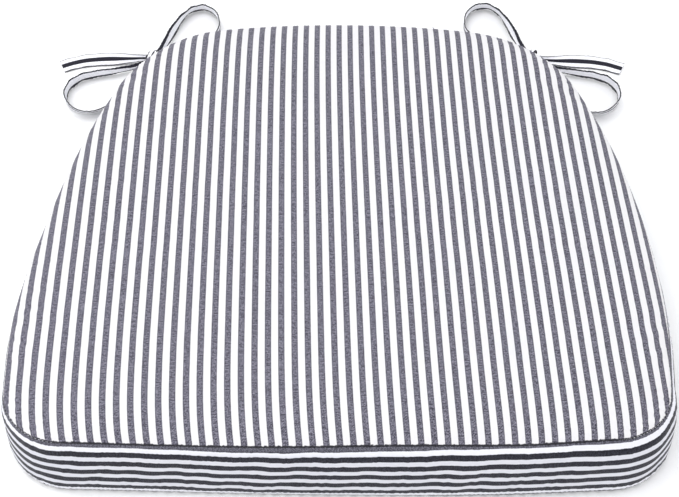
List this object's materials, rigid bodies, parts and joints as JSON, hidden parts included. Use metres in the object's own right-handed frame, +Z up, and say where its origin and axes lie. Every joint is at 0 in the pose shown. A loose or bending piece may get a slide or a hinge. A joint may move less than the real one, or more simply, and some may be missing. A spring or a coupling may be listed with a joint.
{
  "type": "chair seat pad",
  "caption": "Boxed chair seat pad with a foam core in a striped cloth cover that unzips at the rear, and a cloth tie bow at each rear corner.",
  "frame": {"origin": "under the middle of the pad's box, ties left out, on the surface that the pad lies on", "axes": "+X to the right across the wide front edge, +Y from the wide front edge to the narrow rear edge with the ties, +Z up"},
  "size_m": [0.4702, 0.4916, 0.0625],
  "materials": {
    "stripe_cloth": "woven cotton ticking, dark grey-blue stripes on white",
    "boxing_cloth": "woven cotton ticking, stripes run along the band",
    "tie_cloth": "folded and sewn ticking tape",
    "foam": "open-cell polyurethane foam",
    "fibre": "polyester wadding",
    "thread": "white polyester sewing thread",
    "zip_tape": "woven polyester tape",
    "zip_nylon": "nylon coil",
    "zip_metal": "plated die-cast"
  },
  "bodies": {
    "pad": {"top_panel": "stripe_cloth", "bottom_panel": "stripe_cloth", "boxing_band": "boxing_cloth", "zip_strip_upper": "boxing_cloth", "zip_strip_lower": "boxing_cloth", "top_seam_thread": "thread", "bottom_seam_thread": "thread", "foam_core": "foam", "wadding_upper": "fibre", "wadding_lower": "fibre", "zip_stop_right": "zip_metal", "zip_stop_left": "zip_metal", "zip_tape_upper": "zip_tape", "zip_coil_upper": "zip_nylon", "zip_stitches_upper": "thread", "zip_tape_lower": "zip_tape", "zip_coil_lower": "zip_nylon", "zip_stitches_lower": "thread"},
    "slider": {"zip_slider": "zip_metal"},
    "pull": {"zip_pull": "zip_metal"},
    "bow_right": {"tie_root_right": "tie_cloth", "tie_knot_right": "tie_cloth", "tie_loop_up_right": "tie_cloth", "tie_loop_out_right": "tie_cloth", "tie_tail_out_right": "tie_cloth", "tie_tail_in_right": "tie_cloth"},
    "bow_left": {"tie_root_left": "tie_cloth", "tie_knot_left": "tie_cloth", "tie_loop_up_left": "tie_cloth", "tie_loop_out_left": "tie_cloth", "tie_tail_out_left": "tie_cloth", "tie_tail_in_left": "tie_cloth"}
  },
  "joints": [
    {"name": "zip_travel", "type": "hinge", "parent": "pad", "child": "slider", "pos_m": [0, -0.35155, 0.0275], "axis": [0, 0, 1], "range_deg": [0, 17.4]},
    {"name": "zip_pull_swing", "type": "hinge", "parent": "slider", "child": "pull", "pos_m": [0.08509, 0.20449, 0.0275], "axis": [0, 0, 1], "range_deg": [0, 180]},
    {"name": "bow_right_lift", "type": "hinge", "parent": "pad", "child": "bow_right", "pos_m": [0.1476, 0.1793, 0.0012], "axis": [0.866, -0.5, 0], "range_deg": [0, 50]},
    {"name": "bow_left_lift", "type": "hinge", "parent": "pad", "child": "bow_left", "pos_m": [-0.1476, 0.1793, 0.0012], "axis": [0.866, 0.5, 0], "range_deg": [0, 50]}
  ]
}
